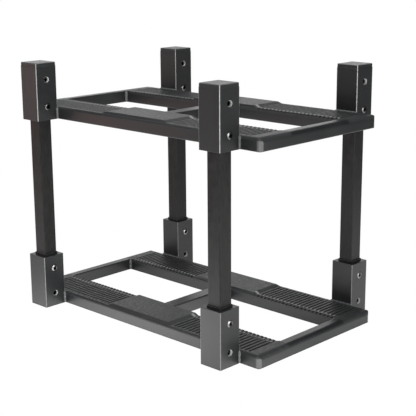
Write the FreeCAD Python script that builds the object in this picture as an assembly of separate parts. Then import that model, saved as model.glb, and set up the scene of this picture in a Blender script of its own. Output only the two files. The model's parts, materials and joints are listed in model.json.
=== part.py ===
"""Two-tier dumbbell rack: two welded trays, four posts, bolted corner sockets.

Millimetres, +Z up, +X along the long side, -Y is the front.
The origin is the middle of the footprint, on the floor.
"""
import math
import os

import FreeCAD
import Part

# Corner sockets: square tube lengths that hold the posts
SLEEVE = 50.0
SLEEVE_WALL = 8.0
SLEEVE_HEIGHT = 109.0
SLEEVE_EDGE_R = 1.6
SLEEVE_RIM_BEVEL = 0.4
PITCH_X = 498.0
PITCH_Y = 388.0
TIER = 393.5

# Bolt holes, the same distance from both ends of a socket
HOLE_R = 5.5
HOLE_CHAMFER = 0.7
HOLE_FROM_END = 27.0

# Posts and the bushes that take up the gap round them
POST = 30.0
POST_WALL = 3.0
POST_EDGE_R = 1.5
POST_INSERTION = 54.0
BUSH_CLEARANCE = 0.15
BUSH_LENGTH = 50.0
BUSH_LIP = 4.5
BUSH_LIP_WALL = 1.3
BUSH_BEVEL = 0.6

# End caps of the upper sockets
CAP_HEIGHT = 7.0
CAP_INSET = 0.4
CAP_BEVEL = 1.2
CAP_SPIGOT_LENGTH = 15.0
CAP_SPIGOT_WALL = 3.0

# Trays
RAIL_WIDTH = 85.0
RAIL_HEIGHT = 25.0
SIDE_OVERHANG = 47.0
SIDE_WIDTH = 25.0
CROSSBAR_WIDTH = 30.0
TUBE_WALL = 2.5
END_THICKNESS = 13.0
CORNER_R = 10.0
SIDE_TOP_R = 10.0
LONG_TOP_R = 5.0
INNER_EDGE_R = 2.5
BOTTOM_EDGE_R = 2.0

# Moulded deck on the long rails: ribbed pads and a raised plate between them
PAD_THICKNESS = 6.0
PLATE_RISE = 4.0
PLATE_TOP_HALF = 81.0
PLATE_BASE_HALF = 90.0
PLATE_INSET_OUTER = 4.0
PLATE_FRONT_RUN = 3.5
PLATE_INSET_INNER = 2.0
PLATE_EDGE_R = 1.2
GROOVE_FIRST = 97.0
GROOVE_PITCH = 9.6
GROOVE_COUNT = 21
GROOVE_WIDTH = 3.2
GROOVE_DEPTH = 2.8
GROOVE_ROUND = 1.5
GROOVE_MARGIN = 11.0

# Fasteners, M10
BOLT_R = 5.0
BOLT_HEAD_R = 7.5
BOLT_HEAD_HEIGHT = 2.2
BOLT_SOCKET_ACROSS = 6.0
BOLT_SOCKET_DEPTH = 2.8
WASHER_R = 10.0
WASHER_THICKNESS = 2.0
NUT_ACROSS = 16.0
NUT_HEIGHT = 8.0
NUT_TURN = 1.2
WASHER_CLEARANCE = 0.3
BOLT_TAIL = 2.5

# Weld beads
BEAD = 4.0
BEAD_THROAT = 0.36

HALF_X = PITCH_X / 2
HALF_Y = PITCH_Y / 2
RAIL_OUTER_Y = HALF_Y - SLEEVE / 2
RAIL_INNER_Y = RAIL_OUTER_Y - RAIL_WIDTH
TRAY_HALF_X = HALF_X + SLEEVE / 2 + SIDE_OVERHANG
CORE_HEIGHT = RAIL_HEIGHT - PAD_THICKNESS
SOCKET = SLEEVE - 2 * SLEEVE_WALL
LOW_HOLE = HOLE_FROM_END
HIGH_HOLE = SLEEVE_HEIGHT - HOLE_FROM_END
OVERRUN = 1.0

CORNERS = (("front_left", -1, -1), ("front_right", 1, -1), ("rear_left", -1, 1), ("rear_right", 1, 1))
TRAYS = (("lower", 0.0), ("upper", TIER))


def vec(x, y, z):
    return FreeCAD.Vector(x, y, z)


def block(x0, x1, y0, y1, z0, z1):
    """A box between two corners."""
    return Part.makeBox(x1 - x0, y1 - y0, z1 - z0, vec(x0, y0, z0))


def square_bar(side, z0, z1):
    """A square bar on the Z axis."""
    half = side / 2
    return block(-half, half, -half, half, z0, z1)


def edges_where(shape, test):
    """The shape's edges whose middle point and direction pass a test."""
    found = []
    for edge in shape.Edges:
        middle = edge.valueAt((edge.FirstParameter + edge.LastParameter) / 2)
        along = edge.tangentAt(edge.FirstParameter)
        if test(middle, along):
            found.append(edge)
    return found


def near(a, b):
    return abs(a - b) < 1e-4


def round_upright_edges(shape, radius):
    """Round every edge that runs along Z."""
    return shape.makeFillet(radius, edges_where(shape, lambda m, d: near(abs(d.z), 1)))


def moved(shape, x, y, z):
    copy = shape.copy()
    copy.translate(vec(x, y, z))
    return copy


def flipped(shape, sign_x, sign_y):
    """Mirror a shape made for the +X, +Y quarter into another quarter."""
    if sign_x < 0:
        shape = shape.mirror(vec(0, 0, 0), vec(1, 0, 0))
    if sign_y < 0:
        shape = shape.mirror(vec(0, 0, 0), vec(0, 1, 0))
    return shape


def cross_hole(half_span, z):
    """A drill along X through a square tube, with a small countersink at each face."""
    drill = Part.makeCylinder(HOLE_R, 2 * half_span + 2, vec(-half_span - 1, 0, z), vec(1, 0, 0))
    for sign in (-1, 1):
        mouth = Part.makeCone(HOLE_R, HOLE_R + HOLE_CHAMFER, HOLE_CHAMFER,
                              vec(sign * (half_span - HOLE_CHAMFER), 0, z), vec(sign, 0, 0))
        drill = drill.fuse(mouth)
    return drill


def make_sleeve():
    """A socket: thick square tube with one bolt hole towards each end."""
    tube = round_upright_edges(square_bar(SLEEVE, 0, SLEEVE_HEIGHT), SLEEVE_EDGE_R)
    rims = edges_where(tube, lambda m, d: near(m.z, 0) or near(m.z, SLEEVE_HEIGHT))
    tube = tube.makeChamfer(SLEEVE_RIM_BEVEL, rims)
    tube = tube.cut(square_bar(SOCKET, -OVERRUN, SLEEVE_HEIGHT + OVERRUN))
    for height in (LOW_HOLE, HIGH_HOLE):
        tube = tube.cut(cross_hole(SLEEVE / 2, height))
    return tube


def make_post():
    """A square post tube, drilled near both ends for its bolts."""
    bottom = SLEEVE_HEIGHT - POST_INSERTION
    top = TIER + POST_INSERTION
    tube = round_upright_edges(square_bar(POST, bottom, top), POST_EDGE_R)
    tube = tube.cut(square_bar(POST - 2 * POST_WALL, bottom - OVERRUN, top + OVERRUN))
    for height in (HIGH_HOLE, TIER + LOW_HOLE):
        tube = tube.cut(Part.makeCylinder(HOLE_R, POST + 2, vec(-POST / 2 - 1, 0, height), vec(1, 0, 0)))
    return tube


def make_bush(lip):
    """A square bush in a socket's mouth, standing out of it by its lip. The mouth is at z = 0."""
    bush = square_bar(SOCKET, -BUSH_LENGTH, 0)
    if lip > 0:
        collar = square_bar(POST + 2 * BUSH_LIP_WALL, -BUSH_LENGTH, lip)
        collar = collar.makeChamfer(BUSH_BEVEL, edges_where(collar, lambda m, d: near(m.z, lip)))
        bush = bush.fuse(collar).removeSplitter()
    opening = POST + 2 * BUSH_CLEARANCE
    bush = bush.cut(square_bar(opening, -BUSH_LENGTH - OVERRUN, lip + OVERRUN))
    start = vec(-SOCKET / 2 - OVERRUN, 0, -HOLE_FROM_END)
    drill = Part.makeCylinder(HOLE_R, SOCKET + 2 * OVERRUN, start, vec(1, 0, 0))
    return bush.cut(drill)


def make_cap():
    """A push-in cap: a square head with bevelled top edges over a hollow spigot."""
    head = round_upright_edges(square_bar(SLEEVE - 2 * CAP_INSET, 0, CAP_HEIGHT), SLEEVE_EDGE_R)
    head = head.makeChamfer(CAP_BEVEL, edges_where(head, lambda m, d: near(m.z, CAP_HEIGHT)))
    spigot = square_bar(SOCKET, -CAP_SPIGOT_LENGTH, 0)
    hollow = square_bar(SOCKET - 2 * CAP_SPIGOT_WALL, -CAP_SPIGOT_LENGTH - OVERRUN, 0)
    return head.fuse(spigot.cut(hollow)).removeSplitter()


def rounded_bar(along, half_length, half_width, top_r):
    """A bar over the whole tray along X or Y, with its two top edges and two bottom edges rounded."""
    if near(along.x, 1):
        bar = block(-half_length, half_length, -half_width, half_width, 0, RAIL_HEIGHT)
    else:
        bar = block(-half_width, half_width, -half_length, half_length, 0, RAIL_HEIGHT)
    for height, radius in ((RAIL_HEIGHT, top_r), (0, BOTTOM_EDGE_R)):
        long_edges = edges_where(bar, lambda m, d, z=height: near(m.z, z) and near(abs(d.dot(along)), 1))
        bar = bar.makeFillet(radius, long_edges)
    return bar


def make_tray_envelope():
    """The outer form of a tray, solid: full round along the short sides, tighter along the long ones."""
    outline = block(-TRAY_HALF_X, TRAY_HALF_X, -RAIL_OUTER_Y, RAIL_OUTER_Y, 0, RAIL_HEIGHT)
    outline = round_upright_edges(outline, CORNER_R)
    long_bar = rounded_bar(vec(1, 0, 0), TRAY_HALF_X, RAIL_OUTER_Y, LONG_TOP_R)
    cross_bar = rounded_bar(vec(0, 1, 0), RAIL_OUTER_Y, TRAY_HALF_X, SIDE_TOP_R)
    return outline.common(long_bar).common(cross_bar)


def make_rail():
    """The steel core of a long rail: a flat rectangular tube, open at both ends."""
    half = TRAY_HALF_X - END_THICKNESS
    tube = block(-half, half, RAIL_INNER_Y, RAIL_OUTER_Y, 0, CORE_HEIGHT)
    long_edges = edges_where(tube, lambda m, d: near(m.z, 0) and near(abs(d.x), 1))
    tube = tube.makeFillet(BOTTOM_EDGE_R, long_edges)
    bore = block(-half - OVERRUN, half + OVERRUN, RAIL_INNER_Y + TUBE_WALL, RAIL_OUTER_Y - TUBE_WALL,
                 TUBE_WALL, CORE_HEIGHT - TUBE_WALL)
    return tube.cut(bore)


def make_rail_end(envelope):
    """The plate that closes one end of a long rail, round at its corner."""
    end = block(TRAY_HALF_X - END_THICKNESS, TRAY_HALF_X, RAIL_INNER_Y, RAIL_OUTER_Y, 0, CORE_HEIGHT)
    return end.common(envelope)


def groove_section(y):
    """The outline of one groove across X: narrow floor, walls that round over at the top."""
    low = RAIL_HEIGHT - GROOVE_DEPTH
    turn = RAIL_HEIGHT - GROOVE_ROUND
    inner = GROOVE_WIDTH / 2
    outer = inner + GROOVE_ROUND
    lift = GROOVE_ROUND * (1 - math.sqrt(0.5))
    above = RAIL_HEIGHT + OVERRUN
    middle = vec(inner + lift, y, RAIL_HEIGHT - lift)
    right = Part.Arc(vec(inner, y, turn), middle, vec(outer, y, RAIL_HEIGHT))
    edges = [
        Part.makeLine(vec(0, y, low), vec(inner, y, low)),
        Part.makeLine(vec(inner, y, low), vec(inner, y, turn)),
        right.toShape(),
        Part.makeLine(vec(outer, y, RAIL_HEIGHT), vec(outer, y, above)),
        Part.makeLine(vec(outer, y, above), vec(0, y, above)),
        Part.makeLine(vec(0, y, above), vec(0, y, low)),
    ]
    return Part.Face(Part.Wire(edges))


def make_groove():
    """One groove along Y at x = 0: open at the rail's inner edge, round-ended at the outer one."""
    end_y = RAIL_OUTER_Y - GROOVE_MARGIN
    section = groove_section(RAIL_INNER_Y - OVERRUN)
    half = section.extrude(vec(0, end_y - RAIL_INNER_Y + OVERRUN, 0))
    other = half.mirror(vec(0, 0, 0), vec(1, 0, 0))
    end = groove_section(end_y).revolve(vec(0, end_y, 0), vec(0, 0, 1), 360)
    return half.fuse([other, end]).removeSplitter()


def deck_strip(x0, x1):
    """A strip of the deck over a rail, before its outer edges are rounded. Its inner edge is eased."""
    strip = block(x0, x1, RAIL_INNER_Y, RAIL_OUTER_Y, CORE_HEIGHT, RAIL_HEIGHT)
    inner = edges_where(strip, lambda m, d: near(m.z, RAIL_HEIGHT) and near(m.y, RAIL_INNER_Y))
    return strip.makeFillet(INNER_EDGE_R, inner)


def make_ribbed_pad(envelope):
    """A moulded pad from the centre plate to the rail's end, grooved across."""
    tube_x = TRAY_HALF_X - SIDE_WIDTH
    over_tube = block(tube_x, TRAY_HALF_X, RAIL_INNER_Y, RAIL_OUTER_Y, CORE_HEIGHT, RAIL_HEIGHT)
    pad = deck_strip(PLATE_BASE_HALF, tube_x).fuse(over_tube).removeSplitter().common(envelope)
    groove = make_groove()
    cuts = [moved(groove, GROOVE_FIRST + i * GROOVE_PITCH, 0, 0) for i in range(GROOVE_COUNT)]
    return pad.cut(cuts)


def prism(points, along):
    """A solid of a straight-sided outline, extruded."""
    return Part.Face(Part.makePolygon(points + points[:1])).extrude(along)


def make_centre_plate(envelope):
    """The raised plate in the middle of a rail, sloping at both ends and along its outer side."""
    base = deck_strip(-PLATE_BASE_HALF, PLATE_BASE_HALF).common(envelope)
    y0 = RAIL_INNER_Y + PLATE_INSET_INNER
    y1 = RAIL_OUTER_Y - PLATE_INSET_OUTER
    top = RAIL_HEIGHT + PLATE_RISE
    foot = RAIL_HEIGHT - 0.5
    lengthwise = prism([
        vec(-PLATE_BASE_HALF, y0, foot), vec(-PLATE_BASE_HALF, y0, RAIL_HEIGHT),
        vec(-PLATE_TOP_HALF, y0, top), vec(PLATE_TOP_HALF, y0, top),
        vec(PLATE_BASE_HALF, y0, RAIL_HEIGHT), vec(PLATE_BASE_HALF, y0, foot),
    ], vec(0, y1 - y0, 0))
    x0 = -PLATE_BASE_HALF
    crosswise = prism([
        vec(x0, y0, foot), vec(x0, y1, foot), vec(x0, y1, RAIL_HEIGHT),
        vec(x0, y1 - PLATE_FRONT_RUN, top), vec(x0, y0, top),
    ], vec(2 * PLATE_BASE_HALF, 0, 0))
    raised = lengthwise.common(crosswise)
    rim = edges_where(raised, lambda m, d: near(m.z, top))
    raised = raised.makeFillet(PLATE_EDGE_R, rim)
    return base.fuse(raised).removeSplitter()


def round_one(bar, high, right, radius):
    """Round one of the four long edges of a bar that runs along Y."""
    box = bar.BoundBox
    x = box.XMax if right else box.XMin
    z = box.ZMax if high else box.ZMin
    edges = edges_where(bar, lambda m, d: near(m.x, x) and near(m.z, z) and near(abs(d.y), 1))
    return bar.makeFillet(radius, edges)


def tube_along_y(x0, x1, outer_r):
    """A rectangular tube between the long rails. outer_r rounds its top edge on the +X side."""
    bar = block(x0, x1, -RAIL_INNER_Y, RAIL_INNER_Y, 0, RAIL_HEIGHT)
    bore = block(x0 + TUBE_WALL, x1 - TUBE_WALL, -RAIL_INNER_Y - OVERRUN, RAIL_INNER_Y + OVERRUN,
                 TUBE_WALL, RAIL_HEIGHT - TUBE_WALL)
    bore_r = max(outer_r - TUBE_WALL, TUBE_WALL)
    edges = (
        (True, True, outer_r, bore_r),
        (True, False, INNER_EDGE_R, TUBE_WALL),
        (False, True, BOTTOM_EDGE_R, TUBE_WALL),
        (False, False, BOTTOM_EDGE_R, TUBE_WALL),
    )
    for high, right, radius, inside_r in edges:
        bar = round_one(bar, high, right, radius)
        bore = round_one(bore, high, right, inside_r)
    return bar.cut(bore)


def bead(corner, along, length, side_a, side_b):
    """A fillet weld: a three-sided bar with a hollow face, in the corner between two faces."""
    a = corner + side_a * BEAD
    b = corner + side_b * BEAD
    sag = corner + (side_a + side_b) * (BEAD * BEAD_THROAT)
    face = Part.Face(Part.Wire([
        Part.makeLine(corner, a),
        Part.Arc(a, sag, b).toShape(),
        Part.makeLine(b, corner),
    ]))
    return face.extrude(along * length)


def make_tray_welds():
    """All the fillet welds of one tray, made in one quarter and mirrored into the others."""
    right = vec(1, 0, 0)
    left = vec(-1, 0, 0)
    back = vec(0, 1, 0)
    front = vec(0, -1, 0)
    up = vec(0, 0, 1)
    height = CORE_HEIGHT - BOTTOM_EDGE_R
    quarter = []
    for side, outward in ((1, right), (-1, left)):
        foot = vec(HALF_X + side * SLEEVE / 2, RAIL_OUTER_Y, BOTTOM_EDGE_R)
        quarter.append(bead(foot, up, height, outward, back))
    x_inside = TRAY_HALF_X - SIDE_WIDTH
    quarter.append(bead(vec(x_inside, RAIL_INNER_Y, BOTTOM_EDGE_R), up, height, left, front))
    quarter.append(bead(vec(CROSSBAR_WIDTH / 2, RAIL_INNER_Y, BOTTOM_EDGE_R), up, height, right, front))
    welds = []
    for _, sign_x, sign_y in CORNERS:
        welds.extend(flipped(weld, sign_x, sign_y) for weld in quarter)
    return Part.makeCompound(welds)


def hexagon(across, x):
    """A hexagonal outline square to X."""
    radius = across / math.sqrt(3)
    points = [vec(x, radius * math.cos(math.radians(60 * i)), radius * math.sin(math.radians(60 * i)))
              for i in range(7)]
    return Part.Face(Part.makePolygon(points))


def make_bolt():
    """A button-head socket bolt along X, its head outside the +X face of a socket."""
    face = SLEEVE / 2
    dome_r = (BOLT_HEAD_R ** 2 + BOLT_HEAD_HEIGHT ** 2) / (2 * BOLT_HEAD_HEIGHT)
    dome = Part.makeSphere(dome_r, vec(face + BOLT_HEAD_HEIGHT - dome_r, 0, 0))
    blank = Part.makeCylinder(BOLT_HEAD_R, BOLT_HEAD_HEIGHT, vec(face, 0, 0), vec(1, 0, 0))
    head = blank.common(dome)
    tail = WASHER_THICKNESS + NUT_HEIGHT + BOLT_TAIL
    shank = Part.makeCylinder(BOLT_R, SLEEVE + tail, vec(-face - tail, 0, 0), vec(1, 0, 0))
    socket_x = face + BOLT_HEAD_HEIGHT - BOLT_SOCKET_DEPTH
    key = hexagon(BOLT_SOCKET_ACROSS, socket_x).extrude(vec(BOLT_HEAD_HEIGHT, 0, 0))
    return head.fuse(shank).removeSplitter().cut(key)


def make_washer():
    x = -SLEEVE / 2 - WASHER_THICKNESS
    disc = Part.makeCylinder(WASHER_R, WASHER_THICKNESS, vec(x, 0, 0), vec(1, 0, 0))
    start = vec(x - OVERRUN, 0, 0)
    hole = Part.makeCylinder(BOLT_R + WASHER_CLEARANCE, WASHER_THICKNESS + 2 * OVERRUN, start, vec(1, 0, 0))
    return disc.cut(hole)


def make_nut():
    """A hexagonal nut with its outer corners turned down."""
    x = -SLEEVE / 2 - WASHER_THICKNESS - NUT_HEIGHT
    body = hexagon(NUT_ACROSS, x).extrude(vec(NUT_HEIGHT, 0, 0))
    corner_r = NUT_ACROSS / math.sqrt(3)
    wide_r = corner_r + NUT_HEIGHT
    turned = Part.makeCone(corner_r - NUT_TURN, wide_r, NUT_HEIGHT + NUT_TURN, vec(x, 0, 0), vec(1, 0, 0))
    hole = Part.makeCylinder(BOLT_R, NUT_HEIGHT + 2 * OVERRUN, vec(x - OVERRUN, 0, 0), vec(1, 0, 0))
    return body.common(turned).cut(hole)


def at_every_bolt(shape):
    """One copy of a fastener at each of the eight bolted joints."""
    copies = []
    for height in (HIGH_HOLE, TIER + LOW_HOLE):
        for _, sign_x, sign_y in CORNERS:
            copies.append(moved(shape, sign_x * HALF_X, sign_y * HALF_Y, height))
    return Part.makeCompound(copies)


def build_tray(tier, z, nodes):
    """The rails, side tubes, crossbar, deck and welds of one tray."""
    envelope = make_tray_envelope()
    rail = make_rail()
    pad = make_ribbed_pad(envelope)
    plate = make_centre_plate(envelope)
    for name, sign_y in (("front", -1), ("rear", 1)):
        nodes[f"{tier}_{name}_rail"] = moved(flipped(rail, 1, sign_y), 0, 0, z)
        nodes[f"{tier}_{name}_centre_plate"] = moved(flipped(plate, 1, sign_y), 0, 0, z)
        for side, sign_x in (("left", -1), ("right", 1)):
            nodes[f"{tier}_{name}_{side}_pad"] = moved(flipped(pad, sign_x, sign_y), 0, 0, z)
    ends = [flipped(make_rail_end(envelope), sign_x, sign_y) for _, sign_x, sign_y in CORNERS]
    nodes[f"{tier}_rail_ends"] = moved(Part.makeCompound(ends), 0, 0, z)
    side = tube_along_y(TRAY_HALF_X - SIDE_WIDTH, TRAY_HALF_X, SIDE_TOP_R)
    nodes[f"{tier}_left_side_tube"] = moved(flipped(side, -1, 1), 0, 0, z)
    nodes[f"{tier}_right_side_tube"] = moved(side, 0, 0, z)
    half = CROSSBAR_WIDTH / 2
    nodes[f"{tier}_crossbar"] = moved(tube_along_y(-half, half, INNER_EDGE_R), 0, 0, z)
    nodes[f"{tier}_welds"] = moved(make_tray_welds(), 0, 0, z)


def build_corners(nodes):
    """The sockets, bushes, posts and caps at the four corners."""
    sleeve = make_sleeve()
    post = make_post()
    lower_bush = moved(make_bush(BUSH_LIP), 0, 0, SLEEVE_HEIGHT)
    upper_bush = moved(make_bush(0).mirror(vec(0, 0, 0), vec(0, 0, 1)), 0, 0, TIER)
    cap = moved(make_cap(), 0, 0, TIER + SLEEVE_HEIGHT)
    for name, sign_x, sign_y in CORNERS:
        x = sign_x * HALF_X
        y = sign_y * HALF_Y
        for tier, z in TRAYS:
            nodes[f"{tier}_{name}_socket"] = moved(sleeve, x, y, z)
        nodes[f"{name}_post"] = moved(post, x, y, 0)
        nodes[f"lower_{name}_bush"] = moved(lower_bush, x, y, 0)
        nodes[f"upper_{name}_bush"] = moved(upper_bush, x, y, 0)
        nodes[f"{name}_cap"] = moved(cap, x, y, 0)


def build():
    nodes = {}
    for tier, z in TRAYS:
        build_tray(tier, z, nodes)
    build_corners(nodes)
    nodes["bolts"] = at_every_bolt(make_bolt())
    nodes["washers"] = at_every_bolt(make_washer())
    nodes["nuts"] = at_every_bolt(make_nut())
    return nodes


os.makedirs("parts", exist_ok=True)
for node_name, node_shape in build().items():
    node_shape.exportStep(f"parts/{node_name}.step")
    volume = sum(solid.Volume for solid in node_shape.Solids) / 1000
    print(f"{node_name}: {len(node_shape.Solids)} solid(s), {volume:.1f} cm3, valid {node_shape.isValid()}")
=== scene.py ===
"""Looks of the two-tier dumbbell rack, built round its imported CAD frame. Metres."""
import json
import math
import random

import bmesh
import bpy
from mathutils import Matrix, Vector


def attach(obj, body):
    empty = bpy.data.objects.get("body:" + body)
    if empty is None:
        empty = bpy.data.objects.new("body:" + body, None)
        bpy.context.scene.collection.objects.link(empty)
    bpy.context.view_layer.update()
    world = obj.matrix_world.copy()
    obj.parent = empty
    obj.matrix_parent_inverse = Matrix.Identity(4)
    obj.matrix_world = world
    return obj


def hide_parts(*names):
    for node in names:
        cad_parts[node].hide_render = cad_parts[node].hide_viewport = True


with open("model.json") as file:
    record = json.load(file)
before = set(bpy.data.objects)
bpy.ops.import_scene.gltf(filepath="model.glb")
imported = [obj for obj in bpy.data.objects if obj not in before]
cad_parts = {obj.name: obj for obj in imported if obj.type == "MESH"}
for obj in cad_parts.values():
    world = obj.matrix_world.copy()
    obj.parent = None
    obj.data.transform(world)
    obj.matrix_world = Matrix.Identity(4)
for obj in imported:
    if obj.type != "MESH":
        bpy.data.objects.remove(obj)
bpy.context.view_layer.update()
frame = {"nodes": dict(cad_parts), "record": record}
nodes = frame["nodes"]

# Camera
CAMERA_AT = Vector((1.4736, -1.5004, 0.7363))
CAMERA_AZIMUTH = 43.781
CAMERA_ELEVATION = 13.989
CAMERA_ROLL = -0.370
CAMERA_LENS = 91.62
SENSOR = 36.0


def make_camera():
    azimuth = math.radians(CAMERA_AZIMUTH)
    elevation = math.radians(CAMERA_ELEVATION)
    roll = math.radians(CAMERA_ROLL)
    back = Vector((math.sin(azimuth) * math.cos(elevation),
                   -math.cos(azimuth) * math.cos(elevation),
                   math.sin(elevation)))
    level = Vector((0, 0, 1)).cross(back).normalized()
    upright = back.cross(level)
    right = level * math.cos(roll) + upright * math.sin(roll)
    up = back.cross(right)
    data = bpy.data.cameras.new("camera")
    data.lens = CAMERA_LENS
    data.sensor_width = SENSOR
    data.clip_start = 0.05
    data.clip_end = 50
    camera = bpy.data.objects.new("camera", data)
    camera.matrix_world = Matrix.Translation(CAMERA_AT) @ Matrix((right, up, back)).transposed().to_4x4()
    bpy.context.scene.collection.objects.link(camera)
    bpy.context.scene.camera = camera


# The CAD model's own sizes that the looks need
HALF_X = 0.249
HALF_Y = 0.194
SLEEVE = 0.050
SLEEVE_HEIGHT = 0.109
TIER = 0.3935
HOLE_FROM_END = 0.027
HOLE_R = 0.0055
RAIL_OUTER_Y = HALF_Y - SLEEVE / 2
RAIL_WIDTH = 0.085
RAIL_INNER_Y = RAIL_OUTER_Y - RAIL_WIDTH
RAIL_HEIGHT = 0.025
LONG_TOP_R = 0.005
SIDE_TUBE = 0.025
TRAY_PAST_SOCKET = 0.047
SIDE_INNER_X = HALF_X + SLEEVE / 2 + TRAY_PAST_SOCKET - SIDE_TUBE
CROSSBAR_HALF = 0.015
CORNER_SIGNS = ((-1, -1), (1, -1), (-1, 1), (1, 1))

# Tones and depths of the materials
# Painted highlight tones for the upright edges of sockets and caps, upper and lower tier
EDGE_HIGHLIGHT_TONE = 0.50
LOW_EDGE_HIGHLIGHT_TONE = 0.20
# Painted highlight tone for the rounded upright corners of the trays
CORNER_HIGHLIGHT_TONE = 0.11
# Painted highlight tone for the caps' top rim
RIM_HIGHLIGHT_TONE = 0.10
# Painted highlight tone for the dots at the groove ends
GROOVE_END_HIGHLIGHT_TONE = 0.30
# Painted shade: black deep in the holes, in the screws' hexagons and round the screw heads
SHADE_BLACK = 0.004
GROOVE_MARGIN = 0.011
GROOVE_END_NEAR = 0.0015
GROOVE_END_FAR = 0.0045
COAT_IOR = 1.5
POST_IOR = 1.33
COOL = -0.06
BROWN = 0.03
HEX_R = 0.0036
HEX_BLEND = 0.0008
HEAD_RIM_IN = 0.0062
HEAD_RIM_OUT = 0.0072
# Painted highlight on the holes' walls, from the mouth down to this depth; black painted shade deeper in
BORE_HIGHLIGHT_TONE = 0.60
BORE_HIGHLIGHT_DEPTH = 0.0044


class Nodes:
    """A short way to write a material's node tree."""

    def __init__(self, name):
        self.material = bpy.data.materials.new(name)
        self.material.use_nodes = True
        self.tree = self.material.node_tree
        self.shader = self.tree.nodes["Principled BSDF"]
        self.place = self.new("ShaderNodeTexCoord").outputs["Object"]

    def new(self, kind, **inputs):
        node = self.tree.nodes.new(kind)
        for key, value in inputs.items():
            self.put(node.inputs[key.replace("_", " ")], value)
        return node

    def put(self, socket, value):
        if isinstance(value, bpy.types.NodeSocket):
            self.tree.links.new(value, socket)
        else:
            socket.default_value = value

    def math(self, operation, a, b=0.0):
        node = self.tree.nodes.new("ShaderNodeMath")
        node.operation = operation
        self.put(node.inputs[0], a)
        self.put(node.inputs[1], b)
        return node.outputs[0]

    def stretched(self, scale, turn=(0, 0, 0)):
        """The object's own coordinates, scaled and turned."""
        node = self.new("ShaderNodeMapping", Vector=self.place, Scale=scale)
        node.inputs["Rotation"].default_value = turn
        return node.outputs["Vector"]

    def axis(self, letter):
        """One of the object's own coordinates."""
        return self.new("ShaderNodeSeparateXYZ", Vector=self.place).outputs[letter]

    def distance_from(self, point):
        node = self.tree.nodes.new("ShaderNodeVectorMath")
        node.operation = "DISTANCE"
        self.put(node.inputs[0], self.place)
        node.inputs[1].default_value = point
        return node.outputs["Value"]

    def inside(self, at, centre, half):
        """1 in a rectangle and its mirror images about X and Y, and 0 outside."""
        past = []
        for axis, middle, reach in zip("XY", centre, half):
            offset = self.math("SUBTRACT", self.math("ABSOLUTE", at.outputs[axis]), middle)
            past.append(self.math("SUBTRACT", self.math("ABSOLUTE", offset), reach))
        return self.math("LESS_THAN", self.math("MAXIMUM", past[0], past[1]), 0.0)

    def noise(self, scale, detail=3.0, place=None):
        node = self.new("ShaderNodeTexNoise", Vector=place or self.place, Scale=scale, Detail=detail)
        return node.outputs["Fac"]

    def spread(self, value, low, high, to_low, to_high):
        """Maps low..high to to_low..to_high, held at both ends."""
        node = self.new("ShaderNodeMapRange", Value=value)
        node.inputs["From Min"].default_value = low
        node.inputs["From Max"].default_value = high
        node.inputs["To Min"].default_value = to_low
        node.inputs["To Max"].default_value = to_high
        return node.outputs["Result"]

    def mix(self, factor, a, b):
        node = self.tree.nodes.new("ShaderNodeMix")
        node.data_type = "RGBA"
        self.put(node.inputs["Factor"], factor)
        self.put(node.inputs[6], a)
        self.put(node.inputs[7], b)
        return node.outputs[2]

    def edge_mask(self, low, high, first="X", second="Y"):
        """1 where the surface rounds from one axis to another, as on edges, and 0 on flat faces."""
        coordinates = self.tree.nodes["Texture Coordinate"]
        facing = self.new("ShaderNodeSeparateXYZ", Vector=coordinates.outputs["Normal"])
        both = self.math("MULTIPLY", facing.outputs[first], facing.outputs[second])
        return self.spread(self.math("ABSOLUTE", both), low, high, 0.0, 1.0)

    def holes(self):
        """Distance from the nearest cross hole's axis, and depth below the socket's side face."""
        at = self.new("ShaderNodeSeparateXYZ", Vector=self.place)
        across = self.math("SUBTRACT", self.math("ABSOLUTE", at.outputs["Y"]), HALF_Y)
        level = self.math("MODULO", at.outputs["Z"], TIER)
        middle = SLEEVE_HEIGHT / 2
        up = self.math("SUBTRACT", self.math("ABSOLUTE", self.math("SUBTRACT", level, middle)),
                       middle - HOLE_FROM_END)
        radius = self.math("SQRT", self.math("ADD", self.math("MULTIPLY", across, across),
                                             self.math("MULTIPLY", up, up)))
        along = self.math("ABSOLUTE", self.math("SUBTRACT", self.math("ABSOLUTE", at.outputs["X"]), HALF_X))
        return radius, self.math("SUBTRACT", SLEEVE / 2, along)

    def blend_shaders(self, factor, a, b):
        node = self.tree.nodes.new("ShaderNodeMixShader")
        for socket, value in zip(node.inputs, (factor, a, b)):
            self.put(socket, value)
        return node.outputs[0]

    def bump(self, height, distance, strength):
        node = self.new("ShaderNodeBump", Height=height, Distance=distance, Strength=strength)
        return node.outputs["Normal"]

    def finish(self, colour, roughness, normal, **fixed):
        self.put(self.shader.inputs["Base Color"], colour)
        self.put(self.shader.inputs["Roughness"], roughness)
        self.put(self.shader.inputs["Normal"], normal)
        for key, value in fixed.items():
            self.shader.inputs[key.replace("_", " ")].default_value = value
        return self.material


def grey(value, warm=0.0):
    return (value * (1 + warm), value, value * (1 - warm), 1)


def coat_nodes(n, base, roughness):
    """Colour, roughness and normal of a satin powder coat: orange peel, cloudiness and fine specks."""
    cloud = n.noise(9.0, 4.0)
    speck = n.noise(900.0, 2.0)
    tone = n.math("ADD", n.spread(cloud, 0.35, 0.65, -0.12, 0.12), n.spread(speck, 0.3, 0.7, -0.15, 0.15))
    tone = n.math("ADD", tone, 0.5)
    colour = n.mix(tone, grey(base * 0.6, COOL), grey(base * 1.4, COOL))
    rough = n.spread(n.math("ADD", cloud, speck), 0.7, 1.3, roughness - 0.08, roughness + 0.08)
    normal = n.bump(n.noise(1300.0, 2.0), 0.0002, 0.35)
    return colour, rough, normal


def powder_coat(name, base, roughness=0.36):
    """The coat of the rails and tubes, with a painted highlight where an upright corner is rounded."""
    n = Nodes(name)
    colour, rough, normal = coat_nodes(n, base, roughness)
    # Painted highlight: rounded upright corners take the pale corner tone
    return n.finish(n.mix(n.edge_mask(0.10, 0.38), colour, grey(CORNER_HIGHLIGHT_TONE)), rough, normal, IOR=COAT_IOR)


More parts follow.
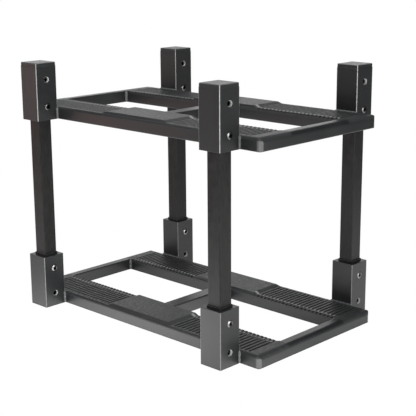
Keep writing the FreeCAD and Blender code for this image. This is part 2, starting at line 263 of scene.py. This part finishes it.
def socket_coat(name, base, roughness=0.38):
    """The same coat with a painted highlight along the upright edges, brighter on the upper tier. The
    drilled holes' walls are painted pale near the mouth as a painted highlight and black deeper in as
    painted shade.
    """
    n = Nodes(name)
    colour, rough, normal = coat_nodes(n, base, roughness)
    # Painted highlight along the upright edges, broken up by noise, paler on the upper tier than on the
    # lower
    edge_highlight = n.math("MULTIPLY", n.edge_mask(0.12, 0.35), n.spread(n.noise(160.0, 3.0), 0.25, 0.75, 0.55, 1.0))
    height = n.axis("Z")
    highlight_tone = n.mix(n.spread(height, SLEEVE_HEIGHT, TIER, 0.0, 1.0), grey(LOW_EDGE_HIGHLIGHT_TONE), grey(EDGE_HIGHLIGHT_TONE))
    colour = n.mix(edge_highlight, colour, highlight_tone)
    # The holes' walls: painted highlight near the mouth, black painted shade deeper in
    radius, depth = n.holes()
    bore = n.math("LESS_THAN", radius, HOLE_R + 0.0002)
    bore_highlight = n.mix(n.noise(1200.0), grey(BORE_HIGHLIGHT_TONE * 0.8), grey(BORE_HIGHLIGHT_TONE * 1.2))
    colour = n.mix(bore, colour, n.mix(n.math("GREATER_THAN", depth, BORE_HIGHLIGHT_DEPTH), bore_highlight, grey(SHADE_BLACK)))
    return n.finish(colour, rough, normal, IOR=COAT_IOR)


def edged_mould(name, base, roughness):
    """Moulded cap: satin like the coat, with a painted highlight along its upright edges and its top rim."""
    n = Nodes(name)
    colour, rough, normal = coat_nodes(n, base, roughness)
    edge_highlight = n.math("MULTIPLY", n.edge_mask(0.12, 0.35), n.spread(n.noise(160.0, 3.0), 0.25, 0.75, 0.5, 0.9))
    # Painted highlight on the rounding of the top rim and along the upright edges
    rim = n.math("MAXIMUM", n.edge_mask(0.3, 0.45, "X", "Z"), n.edge_mask(0.3, 0.45, "Y", "Z"))
    colour = n.mix(rim, colour, grey(RIM_HIGHLIGHT_TONE))
    return n.finish(n.mix(edge_highlight, colour, grey(EDGE_HIGHLIGHT_TONE)), rough, normal, IOR=COAT_IOR)


def post_finish(name, base, roughness=0.38):
    """A dark, slightly brown coat over brushed tube, with faint slanting streaks."""
    n = Nodes(name)
    lines = n.noise(1.0, 4.0, n.stretched((900.0, 900.0, 12.0)))
    streaks = n.noise(1.0, 3.0, n.stretched((60.0, 420.0, 60.0), (math.radians(35), 0, 0)))
    tone = n.math("ADD", n.spread(lines, 0.3, 0.7, 0.0, 0.5), n.spread(streaks, 0.35, 0.65, 0.0, 0.5))
    colour = n.mix(tone, grey(base * 0.3, BROWN), grey(base * 2.4, BROWN))
    rough = n.spread(streaks, 0.3, 0.7, roughness - 0.08, roughness + 0.1)
    normal = n.bump(lines, 0.0002, 0.4)
    return n.finish(colour, rough, normal, IOR=POST_IOR)


def moulded(name, base, roughness=0.5):
    """Grained mould, with a painted highlight dot where each groove ends near the rail's inner edge."""
    n = Nodes(name)
    grain = n.noise(1100.0, 3.0)
    blotch = n.noise(260.0, 4.0)
    cloud = n.math("ADD", n.math("MULTIPLY", n.noise(14.0, 3.0), 0.4), n.math("MULTIPLY", blotch, 0.6))
    tone = n.math("ADD", n.spread(cloud, 0.35, 0.65, 0.0, 0.5), n.spread(grain, 0.35, 0.65, 0.0, 0.5))
    colour = n.mix(tone, grey(base * 0.7, COOL), grey(base * 1.3, COOL))
    # Painted highlight: a pale dot at the end of each groove
    from_end = n.math("SUBTRACT", n.math("ABSOLUTE", n.axis("Y")), RAIL_INNER_Y + GROOVE_MARGIN)
    at_ends = n.spread(n.math("ABSOLUTE", from_end), GROOVE_END_NEAR, GROOVE_END_FAR, 1.0, 0.0)
    on_pads = n.spread(n.math("ABSOLUTE", n.axis("X")), SIDE_INNER_X - 0.006, SIDE_INNER_X - 0.003, 1.0, 0.0)
    groove_highlight = n.math("MULTIPLY", at_ends, n.edge_mask(0.10, 0.35, "X", "Z"))
    groove_highlight = n.math("MULTIPLY", groove_highlight, on_pads)
    colour = n.mix(groove_highlight, colour, grey(GROOVE_END_HIGHLIGHT_TONE))
    rough = n.spread(blotch, 0.35, 0.65, roughness - 0.1, roughness + 0.1)
    normal = n.bump(grain, 0.0003, 0.6)
    return n.finish(colour, rough, normal, IOR=COAT_IOR)


def zinc(name):
    """Dark plated fasteners with a soft sheen, darker on the upper tier as painted shade, and black painted
    shade inside the hexagon and round the edge of the screw heads.
    """
    n = Nodes(name)
    swirl = n.noise(700.0, 3.0)
    height = n.axis("Z")
    # Painted shade: the upper tier's fasteners are darker than the lower tier's
    upper = n.spread(height, SLEEVE_HEIGHT, TIER, 0.0, 1.0)
    colour = n.mix(upper, n.mix(swirl, grey(0.20), grey(0.38)), n.mix(swirl, grey(0.12), grey(0.22)))
    radius, depth = n.holes()
    # Painted shade: black in the hexagon and round the head's edge; the ring between keeps the plating's
    # colour
    rim = n.math("MULTIPLY", n.spread(radius, HEX_R, HEX_R + HEX_BLEND, 0.0, 1.0),
                 n.spread(radius, HEAD_RIM_IN, HEAD_RIM_OUT, 1.0, 0.0))
    head = n.math("LESS_THAN", depth, 0.0)
    colour = n.mix(n.math("MULTIPLY", head, n.math("SUBTRACT", 1.0, rim)), colour, grey(SHADE_BLACK))
    rough = n.spread(swirl, 0.3, 0.7, 0.26, 0.40)
    normal = n.bump(n.noise(1500.0, 2.0), 0.0001, 0.4)
    return n.finish(colour, rough, normal, Metallic=1.0)


def give(obj, material):
    """Makes this the object's only material."""
    obj.data.materials.clear()
    obj.data.materials.append(material)


def dress_nodes():
    materials = {
        "frame": powder_coat("powder_coat", 0.014),
        # Painted highlight: the weld beads' coat is paler than the frame's
        "weld": powder_coat("weld_highlight_coat", 0.070, 0.30),
        "post": post_finish("post_coat", 0.008),
        "deck": moulded("deck_mould", 0.022),
        "cap": edged_mould("cap_mould", 0.016, 0.40),
        "bush": moulded("bush_nylon", 0.008, 0.35),
        "fastener": zinc("dark_zinc"),
    }
    sockets = socket_coat("socket_coat", 0.014)
    for row in frame["record"]["subparts"]:
        chosen = sockets if row["node"].endswith("_socket") else materials[row["material_slot"]]
        give(nodes[row["node"]], chosen)
    return materials


# Weld beads
BEAD = 0.0036
BEAD_RING = 0.0005
BEAD_RIPPLE = 0.0019
BEAD_FACES = 6


def run_bead(build, start, along, length, side_a, side_b, size):
    """A rippled fillet bead in the corner between two faces that lie along side_a and side_b."""
    rings = []
    steps = max(2, round(length / BEAD_RING))
    drift = random.uniform(0, 1)
    for step in range(steps + 1):
        run = length * step / steps
        ripple = abs(math.sin(math.pi * (run / BEAD_RIPPLE + drift)))
        wander = 0.08 * math.sin(run * 700 + drift * 6) + random.uniform(-0.03, 0.03)
        taper = min(1.0, 0.45 + 0.55 * min(run, length - run) / (size * 0.6))
        reach = size * (0.84 + 0.16 * ripple + wander) * taper
        corner = Vector(start) + Vector(along) * run
        ring = [build.verts.new(corner)]
        for part in range(BEAD_FACES + 1):
            turn = math.pi / 2 * part / BEAD_FACES
            swell = reach * (0.80 + 0.20 * abs(math.cos(2 * turn)) + 0.05 * ripple)
            ring.append(build.verts.new(corner + (Vector(side_a) * math.cos(turn)
                                                  + Vector(side_b) * math.sin(turn)) * swell))
        rings.append(ring)
    count = len(rings[0])
    for one, two in zip(rings, rings[1:]):
        for i in range(count):
            j = (i + 1) % count
            build.faces.new((one[i], one[j], two[j], two[i]))
    build.faces.new(rings[0])
    build.faces.new(reversed(rings[-1]))


def make_welds(material):
    """Both trays' weld beads: up the sockets' sides, over their inner walls, and in the inner corners."""
    random.seed(11)
    for tier, base in (("lower", 0.0), ("upper", TIER)):
        build = bmesh.new()
        for sx, sy in CORNER_SIGNS:
            inward = (0, -sy, 0)
            outward = (0, sy, 0)
            for side in (1, -1):
                foot = (sx * (HALF_X + side * SLEEVE / 2), sy * RAIL_OUTER_Y, base + 0.0015)
                away = (sx * side, 0, 0)
                run_bead(build, foot, (0, 0, 1), RAIL_HEIGHT - LONG_TOP_R * 0.3, away, outward, BEAD)
            top = (sx * (HALF_X - SLEEVE / 2), sy * RAIL_OUTER_Y, base + RAIL_HEIGHT - LONG_TOP_R * 0.6)
            run_bead(build, top, (sx, 0, 0), SLEEVE, inward, (0, 0, 1), BEAD * 1.3)
            tube = (sx * SIDE_INNER_X, sy * RAIL_INNER_Y, base + 0.002)
            run_bead(build, tube, (0, 0, 1), RAIL_HEIGHT - 0.0022, (-sx, 0, 0), inward, BEAD * 1.3)
            bar = (sx * CROSSBAR_HALF, sy * RAIL_INNER_Y, base + 0.002)
            run_bead(build, bar, (0, 0, 1), RAIL_HEIGHT - 0.0035, (sx, 0, 0), inward, BEAD)
        bmesh.ops.recalc_face_normals(build, faces=build.faces)
        mesh = bpy.data.meshes.new(f"{tier}_weld_beads")
        build.to_mesh(mesh)
        build.free()
        for face in mesh.polygons:
            face.use_smooth = True
        beads = bpy.data.objects.new(f"{tier}_weld_beads", mesh)
        bpy.context.scene.collection.objects.link(beads)
        give(beads, material)
        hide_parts(f"{tier}_welds")
        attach(beads, "root")


def make_floor():
    """A disc that the camera sees as plain white. Other rays see a pale floor that glows, most of all in
    a patch near the front, less towards the back left, and not at all under the rack."""
    mesh = bpy.data.meshes.new("floor")
    build = bmesh.new()
    bmesh.ops.create_circle(build, cap_ends=True, segments=96, radius=FLOOR_EDGE)
    build.to_mesh(mesh)
    build.free()
    floor = bpy.data.objects.new("floor", mesh)
    floor.location.z = -FLOOR_GAP
    bpy.context.scene.collection.objects.link(floor)
    n = Nodes("floor_white")
    shade = n.mix(n.noise(3.0), grey(0.50), grey(0.54))
    n.finish(shade, 0.8, n.bump(n.noise(400.0), 0.0001, 0.2))
    n.shader.inputs["Emission Color"].default_value = (1, 1, 1, 1)
    glow = n.spread(n.distance_from(PATCH_AT), 0.05, PATCH_SIZE, FLOOR_GLOW + PATCH_GLOW, FLOOR_GLOW)
    at = n.new("ShaderNodeSeparateXYZ", Vector=n.place)
    behind = n.math("SUBTRACT", at.outputs["Y"], at.outputs["X"])
    glow = n.math("MULTIPLY", glow, n.spread(behind, 0.3, 0.8, 1.0, DARK_SIDE))
    for centre, half in UNDER_RACK:
        glow = n.math("MULTIPLY", glow, n.math("SUBTRACT", 1.0, n.inside(at, centre, half)))
    n.put(n.shader.inputs["Emission Strength"], glow)
    fade = n.spread(n.distance_from((0, 0, 0)), FLOOR_WHITE, FLOOR_EDGE * 0.98, 0.0, 1.0)
    clear = n.tree.nodes.new("ShaderNodeBsdfTransparent")
    faded = n.blend_shaders(fade, n.shader.outputs[0], clear.outputs[0])
    white = n.new("ShaderNodeEmission", Strength=1.0)
    seen = n.tree.nodes.new("ShaderNodeLightPath").outputs["Is Camera Ray"]
    surface = n.blend_shaders(seen, faded, white.outputs[0])
    n.put(n.tree.nodes["Material Output"].inputs["Surface"], surface)
    give(floor, n.material)


def area_light(name, at, toward, width, height, power, colour):
    data = bpy.data.lights.new(name, "AREA")
    data.shape = "RECTANGLE"
    data.size = width
    data.size_y = height
    data.energy = power
    data.color = colour
    light = bpy.data.objects.new(name, data)
    light.location = at
    light.rotation_mode = "QUATERNION"
    light.rotation_quaternion = (Vector(toward) - Vector(at)).to_track_quat("-Z", "Y")
    light.visible_camera = False
    bpy.context.scene.collection.objects.link(light)


# Lights: name, place, target, width, height, watts, colour
WHITE = (1, 1, 1)
WARM = (1.0, 0.50, 0.45)
MIDDLE = (0, 0, 0.25)
LIGHTS = (
    ("overhead", (0.0, 0.0, 2.2), MIDDLE, 2.0, 2.0, 32, WHITE),
    ("key_low", (1.75, -1.6, 0.20), MIDDLE, 0.25, 0.4, 12, WHITE),
    ("key_front", (0.3, -2.1, 1.7), MIDDLE, 0.6, 0.6, 18, WHITE),
    ("back_low", (-1.6, 1.75, 0.55), (0, 0, 0.2), 2.2, 0.7, 4.5, WHITE),
    ("back_high", (-1.6, 1.75, 1.30), (0, 0, 0.4), 2.2, 0.7, 9.0, WHITE),
    ("back_right", (2.0, 2.1, 0.5), MIDDLE, 2.0, 1.0, 1.3, WHITE),
    ("left", (-2.4, -0.3, 0.8), MIDDLE, 1.6, 1.4, 11, WHITE),
    ("right", (2.4, 0.2, 0.7), MIDDLE, 1.0, 1.2, 32, WHITE),
    ("front_low", (-1.5, -1.85, 0.22), (0, 0, 0.22), 2.0, 0.44, 2.0, WHITE),
    ("warm_left", (-1.05, -0.95, 0.30), (-0.25, -0.1, 0.25), 0.35, 0.6, 0.7, WARM),
)

# Floor and surroundings
FLOOR_WHITE = 1.2
FLOOR_EDGE = 2.0
DARK_SIDE = 0.15
FLOOR_GAP = 0.0004
FLOOR_GLOW = 0.7
PATCH_GLOW = 2.3
PATCH_AT = (0.0, -0.30, 0.0)
PATCH_SIZE = 0.45
AMBIENT = 0.005
SHADE_MARGIN = 0.001
TRAY_HALF_X = SIDE_INNER_X + SIDE_TUBE
# The rack's footprint, as the centre and half size of rectangles that are mirrored about X and Y
UNDER_RACK = (
    ((HALF_X, HALF_Y), (SLEEVE / 2 + SHADE_MARGIN, SLEEVE / 2 + SHADE_MARGIN)),
    ((0, (RAIL_INNER_Y + RAIL_OUTER_Y) / 2), (TRAY_HALF_X + SHADE_MARGIN, RAIL_WIDTH / 2 + SHADE_MARGIN)),
    ((SIDE_INNER_X + SIDE_TUBE / 2, 0), (SIDE_TUBE / 2 + SHADE_MARGIN, RAIL_OUTER_Y)),
    ((0, 0), (CROSSBAR_HALF + SHADE_MARGIN, RAIL_OUTER_Y)),
)


def make_light():
    world = bpy.data.worlds.new("studio")
    bpy.context.scene.world = world
    world.use_nodes = True
    tree = world.node_tree
    seen = tree.nodes.new("ShaderNodeBackground")
    seen.inputs["Color"].default_value = (1, 1, 1, 1)
    seen.inputs["Strength"].default_value = 1.0
    ambient = tree.nodes["Background"]
    ambient.inputs["Color"].default_value = (1, 1, 1, 1)
    ambient.inputs["Strength"].default_value = AMBIENT
    path = tree.nodes.new("ShaderNodeLightPath")
    pick = tree.nodes.new("ShaderNodeMixShader")
    tree.links.new(path.outputs["Is Camera Ray"], pick.inputs[0])
    tree.links.new(ambient.outputs[0], pick.inputs[1])
    tree.links.new(seen.outputs[0], pick.inputs[2])
    tree.links.new(pick.outputs[0], tree.nodes["World Output"].inputs["Surface"])
    for light in LIGHTS:
        area_light(*light)
    bpy.context.scene.view_settings.view_transform = "Standard"


make_camera()
make_light()
make_floor()
materials = dress_nodes()
make_welds(materials["weld"])
